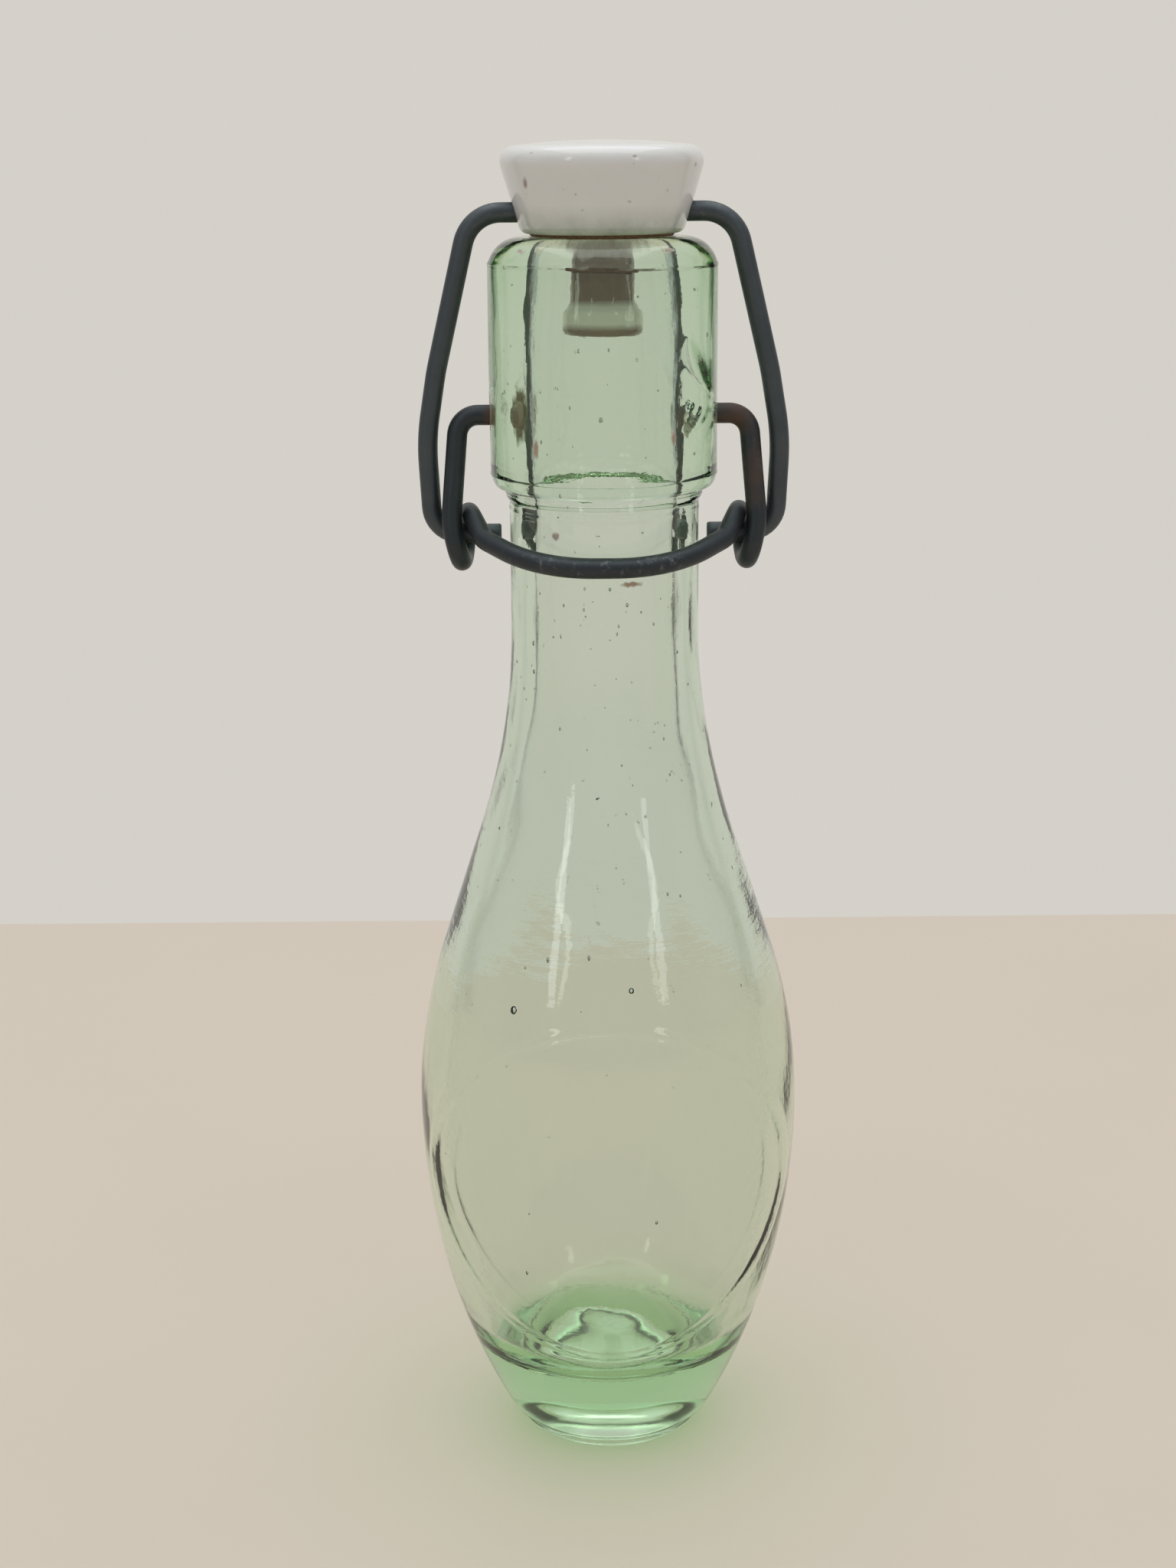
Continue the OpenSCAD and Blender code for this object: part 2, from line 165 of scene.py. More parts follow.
def resample(line, gap, soften):
    """Points along a line, gap(r, z) apart, with its corners softened over that length."""
    fine_step = 0.05
    line = np.asarray(line, float)
    keep = np.r_[True, np.linalg.norm(np.diff(line, axis=0), axis=1) > 1e-6]
    line = line[keep]
    at = np.r_[0, np.cumsum(np.linalg.norm(np.diff(line, axis=0), axis=1))]
    fine = np.arange(0, at[-1], fine_step)
    pts = np.stack([np.interp(fine, at, line[:, k]) for k in range(2)], 1)
    if soften:
        w = int(soften * 3 / fine_step)
        kernel = np.exp(-0.5 * (np.arange(-w, w + 1) * fine_step / soften) ** 2)
        kernel /= kernel.sum()
        ends = [2 * pts[0] - pts[1:w + 1][::-1], pts, 2 * pts[-1] - pts[-w - 1:-1][::-1]]
        padded = np.concatenate(ends)
        pts = np.stack([np.convolve(padded[:, k], kernel, "valid") for k in range(2)], 1)
    density = np.cumsum(fine_step / gap(pts[:, 0], pts[:, 1]))
    density -= density[0]
    count = int(math.ceil(density[-1]))
    wanted = np.linspace(0, density[-1], count + 1)
    return np.stack([np.interp(wanted, density, pts[:, k]) for k in range(2)], 1)


# ---------------------------------------------------------------- meshes
def new_object(name, verts, faces, material):
    mesh = bpy.data.meshes.new(name)
    mesh.from_pydata((np.asarray(verts) / 1000).tolist(), [], faces)
    mesh.update()
    obj = bpy.data.objects.new(name, mesh)
    bpy.context.scene.collection.objects.link(obj)
    finish_mesh(obj, material)
    return obj


def finish_mesh(obj, material):
    obj.data.polygons.foreach_set("use_smooth", [True] * len(obj.data.polygons))
    obj.data.materials.clear()
    obj.data.materials.append(material)
    obj.data.update()


def grid_faces(rings, cols, first=0):
    i, j = np.meshgrid(np.arange(rings - 1), np.arange(cols), indexing="ij")
    k = (j + 1) % cols
    quads = np.stack([i * cols + j, i * cols + k, (i + 1) * cols + k, (i + 1) * cols + j], -1)
    return (quads.reshape(-1, 4) + first).tolist()


def capped(grid, start, end):
    """A closed tube through a grid of points (rings, columns, 3), with a point at each end."""
    rings, cols = grid.shape[:2]
    verts = np.concatenate([grid.reshape(-1, 3), [start, end]])
    faces = grid_faces(rings, cols)
    last = (rings - 1) * cols
    for j in range(cols):
        k = (j + 1) % cols
        faces.append([rings * cols, k, j])
        faces.append([rings * cols + 1, last + j, last + k])
    return verts, faces


def outward(verts, faces):
    """Turns the faces round if the closed surface is inside out."""
    v = np.asarray(verts)
    tri = np.array([[f[0], f[1], f[2]] for f in faces]
                   + [[f[0], f[2], f[3]] for f in faces if len(f) == 4])
    total = np.einsum("ij,ij->i", v[tri[:, 0]], np.cross(v[tri[:, 1]], v[tri[:, 2]])).sum()
    return faces if total > 0 else [f[::-1] for f in faces]


def lathe(outline, angles, shape):
    """A closed turned surface. The outline runs from the axis to the axis, and angles are measured
    from the front, -Y, towards +X. shape(r, z, angles) gives the final radii and heights."""
    inner = outline[1:-1]
    r = np.repeat(inner[:, :1], len(angles), 1)
    z = np.repeat(inner[:, 1:], len(angles), 1)
    r, z = shape(r, z, angles)
    grid = np.stack([r * np.sin(angles), -r * np.cos(angles), z], -1)
    verts, faces = capped(grid, [0, 0, outline[0][1]], [0, 0, outline[-1][1]])
    return verts, outward(verts, faces)


def bent_path(points, bends, step=0.7):
    """The middle line of a wire along the points, bent at each inner one to its radius."""
    points = [np.array(p, float) for p in points]
    line = [points[0]]
    for i in range(1, len(points) - 1):
        into = points[i] - points[i - 1]
        into /= np.linalg.norm(into)
        out = points[i + 1] - points[i]
        out /= np.linalg.norm(out)
        turn = math.acos(np.clip(into @ out, -1, 1))
        r = bends[i - 1]
        middle = points[i] + (out - into) / np.linalg.norm(out - into) * r / math.cos(turn / 2)
        spoke = points[i] - into * r * math.tan(turn / 2) - middle
        axis = np.cross(into, out)
        axis /= np.linalg.norm(axis)
        steps = max(4, int(r * turn / step))
        for k in range(steps + 1):
            a = turn * k / steps
            line.append(middle + spoke * math.cos(a) + np.cross(axis, spoke) * math.sin(a))
    line.append(points[-1])
    line = np.array(line)
    at = np.r_[0, np.cumsum(np.linalg.norm(np.diff(line, axis=0), axis=1))]
    wanted = np.linspace(0, at[-1], int(at[-1] / step) + 1)
    return np.stack([np.interp(wanted, at, line[:, k]) for k in range(3)], 1)


def mirrored(half):
    return [list(p) for p in half] + [[-p[0], p[1], p[2]] for p in half[::-1]]


def wire(line, d, rng, sides=26, dents=14, dent_depth=0.05):
    """A swept wire with cut ends, slightly worn rims and shallow dents."""
    along = np.gradient(line, axis=0)
    along /= np.linalg.norm(along, axis=1)[:, None]
    side = np.cross(along[0], [0.3, 0.2, 1])
    frames = []
    for way in along:
        side = side - way * (side @ way)
        side /= np.linalg.norm(side)
        frames.append((side, np.cross(way, side)))
    at = np.r_[0, np.cumsum(np.linalg.norm(np.diff(line, axis=0), axis=1))]
    a = np.linspace(0, 2 * math.pi, sides, endpoint=False)
    r = np.full((len(line), sides), d / 2)
    for _ in range(dents):
        where, turn = rng.uniform(0, at[-1]), rng.uniform(0, 2 * math.pi)
        length, depth = rng.uniform(2, 9), rng.uniform(0.3, 1) * dent_depth
        r -= depth * np.exp(-((at[:, None] - where) / length) ** 2) * np.maximum(
            0, np.cos(a[None] - turn)) ** 2
    grid = np.array([p + radii[:, None] * (np.cos(a)[:, None] * u + np.sin(a)[:, None] * v)
                     for p, radii, (u, v) in zip(line, r, frames)])
    # Each cut end as (distance from the end, share of the radius)
    rim = [(0.0, 0.45), (0.0, 0.86), (0.1, 0.95), (0.3, 1.0)]
    first = [line[0] + along[0] * h + (grid[0] - line[0]) * s for h, s in rim]
    last = [line[-1] - along[-1] * h + (grid[-1] - line[-1]) * s for h, s in rim[::-1]]
    grid = np.concatenate([np.array(first), grid[1:-1], np.array(last)])
    verts, faces = capped(grid, line[0], line[-1])
    return verts, outward(verts, faces)


# ---------------------------------------------------------------- node trees
class Nodes:
    """A node tree, made in short lines."""

    def __init__(self, tree):
        self.nodes, self.links = tree.nodes, tree.links
        self.nodes.clear()

    def put(self, socket, value):
        if isinstance(value, bpy.types.NodeSocket):
            self.links.new(value, socket)
        else:
            socket.default_value = value

    def node(self, kind, inputs=None, **props):
        n = self.nodes.new(kind)
        for key, value in props.items():
            setattr(n, key, value)
        for key, value in (inputs or {}).items():
            self.put(n.inputs[key], value)
        return n

    def math(self, op, a, b=0.0, clamp=False):
        return self.node("ShaderNodeMath", {0: a, 1: b}, operation=op, use_clamp=clamp).outputs[0]

    def ramp(self, fac, *stops):
        """Values or colours between stops, each (position, value or colour)."""
        n = self.node("ShaderNodeValToRGB", {"Fac": fac})
        while len(n.color_ramp.elements) < len(stops):
            n.color_ramp.elements.new(0.5)
        for element, (at, value) in zip(n.color_ramp.elements, stops):
            element.position = at
            element.color = (*value, 1) if hasattr(value, "__len__") else (value, value, value, 1)
        return n.outputs["Color"]

    def mix(self, fac, a, b):
        n = self.node("ShaderNodeMix", {0: fac}, data_type="RGBA")
        self.put(n.inputs[6], a if isinstance(a, bpy.types.NodeSocket) else (*a, 1))
        self.put(n.inputs[7], b if isinstance(b, bpy.types.NodeSocket) else (*b, 1))
        return n.outputs[2]


class Tree(Nodes):
    """A material's node tree."""

    def __init__(self, name):
        self.mat = bpy.data.materials.new(name)
        self.mat.use_nodes = True
        super().__init__(self.mat.node_tree)
        self.out = self.nodes.new("ShaderNodeOutputMaterial")
        self.place = self.node("ShaderNodeTexCoord").outputs["Object"]

    def scaled(self, scale):
        return self.node("ShaderNodeMapping", {"Vector": self.place, "Scale": scale}).outputs[0]

    def noise(self, size_mm, detail=3, rough=0.55, vector=None):
        return self.node("ShaderNodeTexNoise", {
            "Vector": vector or self.place, "Scale": 1000 / size_mm, "Detail": detail,
            "Roughness": rough}).outputs["Fac"]

    def blot(self, centre, size, edge=0.35, wander=0.0, wander_mm=2.0):
        """1 inside an uneven blot round a point in millimetres, 0 outside."""
        vector = self.node("ShaderNodeVectorMath", {0: self.place, 1: [c / 1000 for c in centre]},
                           operation="SUBTRACT").outputs[0]
        vector = self.node("ShaderNodeVectorMath", {0: vector, 1: [1000 / s for s in size]},
                           operation="MULTIPLY").outputs[0]
        far = self.node("ShaderNodeVectorMath", {0: vector}, operation="LENGTH").outputs["Value"]
        if wander:
            far = self.math("ADD", far, self.math("MULTIPLY", self.math(
                "SUBTRACT", self.noise(wander_mm, 4, 0.6), 0.5), wander))
        return self.ramp(far, (1 - edge, 1.0), (1.0, 0.0))

    def most(self, *masks):
        highest = masks[0]
        for mask in masks[1:]:
            highest = self.math("MAXIMUM", highest, mask)
        return highest

    def bump(self, height, distance_mm, normal=None):
        inputs = {"Height": height, "Distance": distance_mm / 1000, "Strength": 1.0}
        if normal is not None:
            inputs["Normal"] = normal
        return self.node("ShaderNodeBump", inputs).outputs[0]

    def surface(self, shader):
        self.links.new(shader.outputs[0], self.out.inputs["Surface"])
        return self.mat


def glass():
    t = Tree("pale_green_glass")
    # Moulding ripple, orange peel, and fine scuffs
    ripple = t.noise(5.5, 2, 0.5, t.scaled((1, 1, 0.55)))
    peel = t.noise(1.5, 3, 0.55)
    z = t.node("ShaderNodeSeparateXYZ", {0: t.place}).outputs["Z"]
    fold_zone = t.ramp(t.math("MULTIPLY", z, 5),
                       (0.42, 0.0), (0.49, 1.0), (0.535, 1.0), (0.60, 0.0))
    fold = t.noise(3.4, 3, 0.6, t.scaled((0.35, 0.35, 2.4)))
    neck_zone = t.ramp(t.math("MULTIPLY", z, 4), (0.55, 0.0), (0.68, 1.0))
    draw = t.noise(2.6, 3, 0.6, t.scaled((1, 1, 0.12)))
    normal = t.bump(ripple, 0.04)
    normal = t.bump(peel, 0.014, normal)
    normal = t.bump(t.math("MULTIPLY", fold, fold_zone), 0.05, normal)
    normal = t.bump(t.math("MULTIPLY", draw, neck_zone), 0.035, normal)
    scuffs = t.ramp(t.noise(9, 6, 0.72), (0.60, 0.0), (0.78, 1.0))
    dust = t.ramp(t.noise(0.9, 3, 0.7), (0.70, 0.0), (0.80, 1.0))
    rough = t.math("ADD", t.math("MULTIPLY", scuffs, 0.05),
                   t.math("ADD", t.math("MULTIPLY", dust, 0.06), 0.005))
    # Rust left by the wire round the pivots, and small stains
    rust_left = t.blot((-17.0, 0.0, pivot_z + 0.2), (5.5, 5.0, 6.6), 0.3, 0.9, 2.6)
    spots = [t.blot(c, s, 0.5, 1.3, 0.8) for c, s in (
        ((-11.3, -15.9, 185.4), (0.55, 1.6, 2.0)), ((11.5, -15.8, 187.2), (0.5, 1.6, 1.6)),
        ((-13.2, -11.5, 217.2), (1.1, 2.0, 0.6)), ((10.4, -13.5, 217.4), (1.3, 2.0, 0.5)))]
    rust_right = t.blot((18.2, 0.0, pivot_z - 1.0), (4.2, 2.8, 4.0), 0.4, 1.0, 2.4)
    orange = t.blot((4.5, -15.8, 162.6), (2.2, 2.0, 0.55), 0.5, 1.3, 0.8)
    brown = t.blot((-8.3, -14.4, 170.6), (0.8, 1.6, 0.9), 0.5, 1.3, 0.7)
    # A brown film where the seal has sat in the mouth, uneven along its lower edge
    level = t.node("ShaderNodeVectorMath", {0: t.place, 1: (1, 1, 0)},
                   operation="MULTIPLY").outputs[0]
    reach = t.node("ShaderNodeVectorMath", {0: level}, operation="LENGTH").outputs["Value"]
    in_mouth = t.math("LESS_THAN", reach, (bore_r + 0.3) / 1000)
    # The roof of the hollow under the base is frosted
    in_hollow = t.math("MULTIPLY", t.math("LESS_THAN", reach, (kick_r - 0.4) / 1000),
                       t.math("LESS_THAN", z, (kick_h + 1) / 1000))
    sag = t.math("MULTIPLY", t.math("SUBTRACT", t.noise(4, 3, 0.6), 0.6), 0.0030)
    film_up = t.math("ADD", t.math("SUBTRACT", z, (lip_z - 4.7) / 1000), sag)
    film = t.ramp(t.math("MULTIPLY", film_up, 500), (0.0, 0.0), (0.35, 1.0))
    film = t.math("MULTIPLY", film, t.math("MULTIPLY", in_mouth, t.ramp(
        t.noise(2.2, 4, 0.6, t.scaled((1, 1, 0.5))), (0.30, 0.35), (0.62, 0.85))))
    stain = t.most(t.math("MULTIPLY", rust_left, 0.9), t.math("MULTIPLY", rust_right, 0.65),
                   t.math("MULTIPLY", orange, 0.8), t.math("MULTIPLY", brown, 0.75),
                   t.math("MULTIPLY", film, 0.9),
                   *[t.math("MULTIPLY", spot, 0.8) for spot in spots])
    stain_colour = t.mix(t.noise(1.6, 4, 0.6), (0.10, 0.040, 0.012), (0.30, 0.135, 0.040))
    stain_colour = t.mix(film, stain_colour, (0.13, 0.065, 0.038))
    stain_colour = t.mix(t.most(orange, *spots), stain_colour, (0.30, 0.135, 0.035))
    tint = t.mix(t.noise(26, 2, 0.5), (0.925, 0.938, 0.925), (0.942, 0.950, 0.938))
    shader = t.node("ShaderNodeBsdfPrincipled", {
        "Base Color": t.mix(stain, tint, stain_colour), "IOR": 1.52,
        "Roughness": t.math("ADD", t.math("ADD", rough, t.math("MULTIPLY", in_hollow, 0.17)),
                            t.math("MULTIPLY", stain, 0.5)),
        "Transmission Weight": t.math("SUBTRACT", 1.0, stain), "Normal": normal})
    # Shadows and bounced light go straight through
    clear = t.node("ShaderNodeBsdfTransparent", {"Color": (0.93, 0.96, 0.93, 1)})
    path = t.node("ShaderNodeLightPath")
    through = t.math("MAXIMUM", path.outputs["Is Shadow Ray"], path.outputs["Is Diffuse Ray"])
    mixed = t.node("ShaderNodeMixShader", {0: through, 1: shader.outputs[0], 2: clear.outputs[0]})
    volume = t.node("ShaderNodeVolumeAbsorption", {"Color": (0.39, 0.80, 0.31, 1), "Density": 25.0})
    t.links.new(volume.outputs[0], t.out.inputs["Volume"])
    return t.surface(mixed)


def porcelain():
    t = Tree("stained_white_porcelain")
    z = t.node("ShaderNodeSeparateXYZ", {0: t.place}).outputs["Z"]
    body = t.mix(t.noise(7, 3, 0.5), (0.74, 0.745, 0.725), (0.80, 0.805, 0.79))
    fine = t.ramp(t.noise(1.1, 2, 0.5), (0.735, 0.0), (0.765, 1.0))
    specks = [t.math("MULTIPLY", t.blot(c, s, 0.7, 1.2, 0.8), dark) for c, s, dark in (
        ((-12.6, -10.1, 228.2), (0.55, 1.2, 1.15), 0.75),
        ((-12.4, -10.4, 226.4), (0.4, 1.0, 0.35), 0.5),
        ((10.6, -12.0, 226.8), (0.25, 1.0, 0.5), 0.3),
        ((15.4, -7.4, 230.8), (0.25, 1.0, 0.6), 0.7),
        ((-4.4, -15.0, 226.4), (0.3, 1.0, 0.3), 0.35),
        ((-3.3, -14.3, 223.9), (0.35, 1.0, 0.3), 0.3),
        ((5.2, -15.9, 232.3), (0.45, 1.2, 0.3), 0.6),
        ((-11.5, -11.9, 232.9), (0.4, 1.0, 0.25), 0.4))]
    speck = t.most(t.math("MULTIPLY", fine, 0.35), *specks)
    # Painted shade and a painted green reflection of the glass: the head turns darker and greener
    # towards its lower edge, unevenly
    low = t.ramp(t.math("MULTIPLY", t.math("SUBTRACT", z, (lip_z + 0.4) / 1000), 60),
                 (0.0, 1.0), (0.30, 0.0))
    low_shade_and_reflection = t.math("MULTIPLY", low, t.ramp(t.noise(3, 4, 0.6), (0.3, 0.5), (0.7, 1.0)))
    stem = t.ramp(t.math("MULTIPLY", t.math("SUBTRACT", lip_z / 1000, z), 100),
                  (0.0, 0.0), (0.05, 1.0))
    # The flange is pale in a band; its rounded underside keeps the stem's brown, there a painted
    # reflection of a brown table
    flange = t.ramp(t.math("MULTIPLY", t.math("SUBTRACT", z, stem_z / 1000), 100),
                    (0.10, 0.0), (0.22, 1.0), (0.50, 1.0), (0.62, 0.0))
    stem_colour = t.mix(t.noise(4, 4, 0.6, t.scaled((1, 1, 0.4))),
                        (0.13, 0.075, 0.045), (0.24, 0.155, 0.10))
    stem_colour = t.mix(t.math("MULTIPLY", flange, 0.92), stem_colour, (0.80, 0.78, 0.70))
    colour = t.mix(speck, body, (0.20, 0.11, 0.075))
    colour = t.mix(t.math("MULTIPLY", low_shade_and_reflection, 0.85), colour, (0.27, 0.31, 0.245))
    colour = t.mix(t.math("MULTIPLY", stem, 0.95), colour, stem_colour)
    normal = t.bump(t.noise(9, 2, 0.5), 0.10)
    normal = t.bump(t.noise(1.2, 3, 0.6), 0.004, normal)
    rough = t.math("ADD", t.math("MULTIPLY", t.noise(5, 4, 0.6), 0.14),
                   t.math("ADD", t.math("MULTIPLY", speck, 0.35), 0.07))
    return t.surface(t.node("ShaderNodeBsdfPrincipled", {
        "Base Color": colour, "Roughness": rough, "IOR": 1.5, "Coat Weight": 0.35,
        "Coat Roughness": 0.08, "Subsurface Weight": 0.08, "Subsurface Scale": 0.002,
        "Normal": normal}))


def rubber():
    t = Tree("aged_brown_rubber")
    colour = t.mix(t.noise(3.5, 5, 0.65), (0.095, 0.040, 0.020), (0.24, 0.118, 0.062))
    cracks = t.node("ShaderNodeTexVoronoi", {"Vector": t.scaled((1, 1, 1.4)), "Scale": 900.0},
                    feature="DISTANCE_TO_EDGE").outputs["Distance"]
    crack = t.ramp(cracks, (0.0, 1.0), (0.08, 0.0))
    colour = t.mix(t.math("MULTIPLY", crack, 0.6), colour, (0.03, 0.016, 0.01))
    normal = t.bump(t.noise(0.8, 4, 0.6), 0.05)
    normal = t.bump(t.math("SUBTRACT", 1.0, crack), 0.05, normal)
    return t.surface(t.node("ShaderNodeBsdfPrincipled", {
        "Base Color": colour, "Normal": normal,
        "Roughness": t.ramp(t.noise(4, 4), (0.3, 0.55), (0.7, 0.85))}))


def steel(name, dark, light, worn, rust):
    """Dark wire. worn and rust are functions of the tree that give the masks."""
    t = Tree(name)
    colour = t.mix(t.noise(5, 5, 0.65), dark, light)
    scratch = t.ramp(t.noise(1.6, 5, 0.7), (0.56, 0.0), (0.74, 1.0))
    bare = t.math("MULTIPLY", worn(t), scratch)
    red = rust(t)
    colour = t.mix(bare, colour, (0.17, 0.18, 0.19))
    colour = t.mix(red, colour, t.mix(t.noise(1.1, 4, 0.65),
                                      (0.045, 0.026, 0.018), (0.13, 0.062, 0.032)))
    normal = t.bump(t.noise(0.55, 4, 0.65), 0.018)
    normal = t.bump(t.noise(3.0, 3, 0.6), 0.05, normal)
    rough = t.math("ADD", t.math("MULTIPLY", t.noise(2.2, 4, 0.6), 0.22), 0.34)
    rough = t.math("ADD", rough, t.math("MULTIPLY", red, 0.25), clamp=True)
    metal = t.math("MULTIPLY", t.math("SUBTRACT", 1.0, red), 0.75)
    return t.surface(t.node("ShaderNodeBsdfPrincipled", {
        "Base Color": colour, "Roughness": rough, "Metallic": metal, "Normal": normal}))


# ---------------------------------------------------------------- the bottle
def wave(rng, angles, z, parts, m_range, length_range, amplitude):
    """A smooth random relief round and along the bottle."""
    total = 0
    for _ in range(parts):
        m = rng.integers(m_range[0], m_range[1] + 1)
        length = rng.uniform(*length_range)
        total = total + rng.uniform(0.5, 1) * np.cos(
            m * angles + 2 * math.pi * z / length * rng.choice([-1, 1]) + rng.uniform(0, 6.28))
    return amplitude * total / math.sqrt(parts)


def bell(x, middle, width):
    return np.exp(-((x - middle) / width) ** 2)


# Seam lines round the neck and the collar as (height, how far they stand out)
seam_lines = ((214.9, 0.18), (179.4, 0.14), (176.4, 0.12), (173.5, 0.10))
fold_z, fold_pitch = 102, 2.9
bruise_top_z, bruise_len, bruise_depth = 203.6, 9.4, 0.80
wrinkle_x, wrinkle_z = 16.0, 189.5
pucker_z = 184.6


def bottle_mesh():
    rng = np.random.default_rng(11)

    def outer_gap(r, z):
        gap = np.full(len(z), 1.25)
        gap[(z > 23) & (z < 92)] = 0.46
        gap[(z >= 92) & (z < 112)] = 0.6
        gap[(z > 170.5) & (z < 182)] = 0.3
        gap[(z >= 182) & (z < 206)] = 0.5
        gap[(z > 213.5) & (z < 216.5)] = 0.3
        gap[z > 216.5] = 0.6
        gap[z < 6] = 0.6
        return gap

    def inner_gap(r, z):
        gap = np.full(len(z), 1.6)
        gap[z > 214] = 0.7
        gap[z < 26] = 0.9
        return gap

    outside = resample(outer_outline(), outer_gap, 0.35)
    inside = resample(inner_outline(), inner_gap, 0.3)
    outside[0, 0] = inside[-1, 0] = 0
    outline = np.concatenate([outside, inside[1:]])
    split = len(outside) - 1
    # The half that faces the camera is finer
    front = np.radians(74)
    angles = np.concatenate([np.linspace(-front, front, 206, endpoint=False),
                             np.linspace(front, 2 * math.pi - front, 108, endpoint=False)])

    def shape(r, z, a):
        a = np.repeat(a[None], len(r), 0)
        a = (a + math.pi) % (2 * math.pi) - math.pi
        out = np.zeros_like(r)
        o, i = slice(0, split), slice(split, None)
        # Outside: gentle unevenness, mould lines, the round moulding and the folds above it
        ao, zo, ro = a[o], z[o], r[o]
        calm = np.clip(ro / 12, 0, 1) * np.clip(zo / 6, 0, 1)
        relief = wave(rng, ao, zo, 7, (2, 6), (24, 70), 0.045) * calm
        for line_z, up in seam_lines:
            sway = line_z + 0.18 * np.cos(ao * 2 + line_z) + 0.1 * np.cos(ao * 5 + 2 * line_z)
            relief += up * bell(zo, sway, 0.32)
        x, y = ro * np.sin(ao), -ro * np.cos(ao)
        # The short upright seam at the front of the neck
        relief += 0.16 * bell(x, 0.8, 0.3) * (zo > 174.2) * (zo < 178.8) * (y < 0)
        away = np.abs(np.hypot(x, zo - ring_z) - ring_r)
        crest = np.clip(1.35 - away / (ring_w / 2 + 0.25), 0, 1)
        relief += ring_up * crest ** 2 * (3 - 2 * crest) * (y < 0)
        fold = bell(zo, fold_z, 4.5) * (0.5 + 0.5 * np.cos(ao * 3 + 1))
        relief += 0.016 * fold * np.cos(2 * math.pi * zo / fold_pitch + 3.1 * np.sin(ao * 4 + 1)
                                        + ao * 7 + 1.6 * np.sin(ao * 11))
        # A bruise on the right of the collar: a leaf-shaped dent over a wrinkled patch
        s = np.clip((bruise_top_z - zo) / bruise_len, 0, 1)
        leaf = np.sin(math.pi * s) * (y < 0)
        bend = 14.1 + 3.6 * s ** 1.5
        relief -= bruise_depth * leaf ** 0.7 * bell(x, bend, 0.35 + 1.0 * leaf)
        patch = bell(zo, wrinkle_z, 5.0) * bell(x, wrinkle_x, 2.4) * (y < 0)
        relief += 0.10 * patch * (np.cos(2.4 * zo + 1.9 * np.sin(1.3 * x + 0.4 * zo) + 1.1 * x)
                                  + 0.8 * np.cos(1.1 * zo - 2.3 * x + 1.5 * np.sin(0.9 * zo)))
        out[o] = relief
        # Inside: thick and thin places, and drawn lines up the neck
        ai, zi, ri = a[i], z[i], r[i]
        calm = np.clip((ri - 3) / 10, 0, 1) * np.clip((lip_z - 1.5 - zi) / 6, 0, 1)
        low = np.clip((150 - zi) / 40, 0.25, 1)
        relief = wave(rng, ai, zi, 9, (1, 5), (26, 80), 0.20) * low
        relief += wave(rng, ai, zi, 9, (5, 13), (18, 50), 0.05)
        neck = np.clip((zi - 110) / 30, 0, 1)
        relief += wave(rng, ai, zi, 14, (7, 22), (50, 150), 0.045) * neck
        collar = np.clip((zi - collar_z) / 10, 0, 1)
        relief = relief * (1 - 0.8 * collar) * np.clip((zi - 12) / 30, 0.3, 1)
        relief += wave(rng, ai, zi, 16, (18, 40), (4, 11), 0.010) * collar
        pucker = np.cos(ai * 3 + 0.4) * 0.5 + 0.5
        sway = pucker_z + 0.5 * np.cos(ai * 5) + 0.3 * np.cos(ai * 17)
        relief += 0.24 * bell(zi, sway, 0.5) * pucker * (
            0.5 + 0.5 * np.cos(ai * 29 + 3 * np.sin(ai * 11)))
        out[i] = relief * calm
        # The floor inside is wavy too
        z = z.copy()
        floor = np.clip((24 - zi) / 4, 0, 1) * np.clip(ri / 4, 0, 1)
        z[i] = zi + floor * (0.10 * np.cos(ai * 2 + ri / 3) + 0.05 * np.cos(ai * 5 + ri / 2))
        return r + out, z

    return lathe(outline, angles, shape)


def dimple_cutter(side):
    """A round-bottomed pit with flared lips, along X. side is -1 or 1."""
    past, sides, flare, flare_depth = 3.0, 48, 0.55, 0.4
    bottom_h = dimple_r * 0.6
    # The pit's outline as (radius, distance from its bottom)
    profile = []
    for t in np.linspace(0, math.pi / 2, 12)[1:]:
        profile.append((dimple_r * math.sin(t), bottom_h * (1 - math.cos(t))))
    for s in np.linspace(bottom_h, dimple_depth + past, 50)[1:]:
        lip = flare * math.exp(-max(0.0, dimple_depth - s) / flare_depth)
        profile.append((dimple_r + lip, s))
    profile = np.array(profile)
    a = np.linspace(0, 2 * math.pi, sides, endpoint=False)
    x = side * (collar_r - dimple_depth + profile[:, 1])
    grid = np.stack([np.repeat(x[:, None], sides, 1), profile[:, :1] * np.cos(a),
                     pivot_z + profile[:, :1] * np.sin(a)], -1)
    return capped(grid, [side * (collar_r - dimple_depth), 0, pivot_z],
                  [side * (collar_r + past), 0, pivot_z])


def cut(obj, verts, faces):
    """Cuts a closed form out of obj."""
    mesh = bpy.data.meshes.new("cutter")
    mesh.from_pydata((np.asarray(verts) / 1000).tolist(), [], outward(verts, faces))
    tool = bpy.data.objects.new("cutter", mesh)
    bpy.context.scene.collection.objects.link(tool)
    modifier = obj.modifiers.new("cut", "BOOLEAN")
    modifier.operation, modifier.object, modifier.solver = "DIFFERENCE", tool, "MANIFOLD"
    bpy.context.view_layer.update()
    done = bpy.data.meshes.new_from_object(obj.evaluated_get(bpy.context.evaluated_depsgraph_get()))
    obj.modifiers.clear()
    old, obj.data = obj.data, done
    bpy.data.meshes.remove(old)
    bpy.data.objects.remove(tool)
    bpy.data.meshes.remove(mesh)


